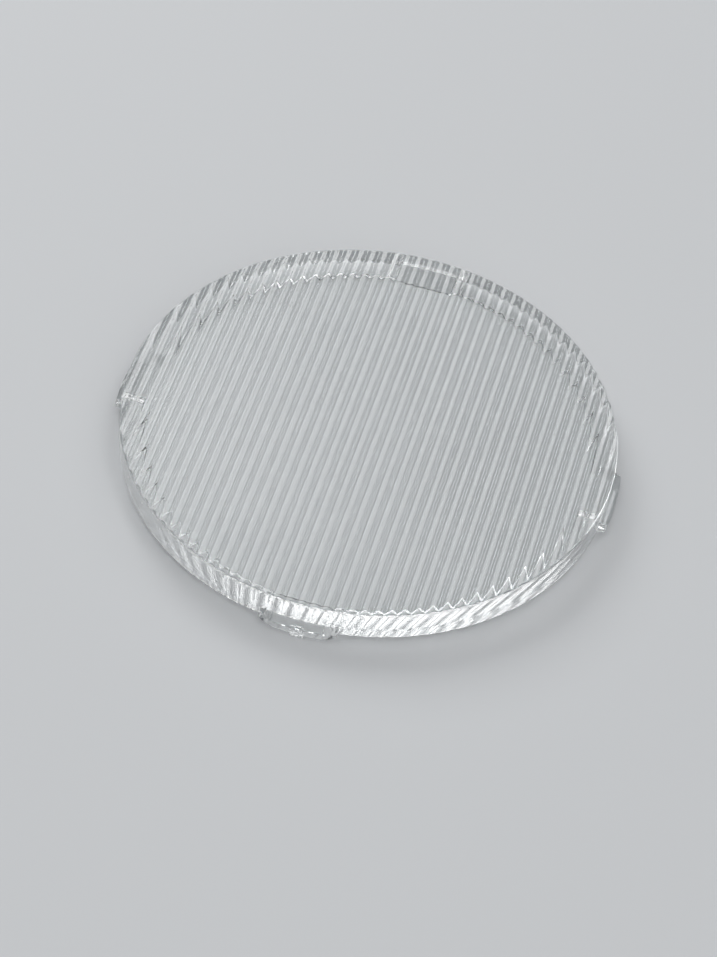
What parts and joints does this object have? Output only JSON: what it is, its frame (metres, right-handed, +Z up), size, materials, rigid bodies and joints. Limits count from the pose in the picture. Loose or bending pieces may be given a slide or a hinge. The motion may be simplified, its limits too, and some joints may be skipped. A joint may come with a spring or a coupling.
{
  "type": "ribbed led lens",
  "caption": "Clear round disc lens with straight ribs across its top, a raised boss beneath and snap clips round its rim, which spreads the light of an LED module.",
  "frame": {"origin": "on the disc's axis, in the plane of the clips' feet that the lens stands on", "axes": "+Z up along the disc's axis, towards the ribbed face; the ribs run along Y; the clips point along X and Y; the broken gate stub is on the -Y clip"},
  "size_m": [0.072, 0.0722, 0.0057],
  "materials": {
    "clear_acrylic": "moulded clear acrylic, polished faces"
  },
  "bodies": {
    "root": {"ribbed_lens": "clear_acrylic"}
  },
  "joints": []
}
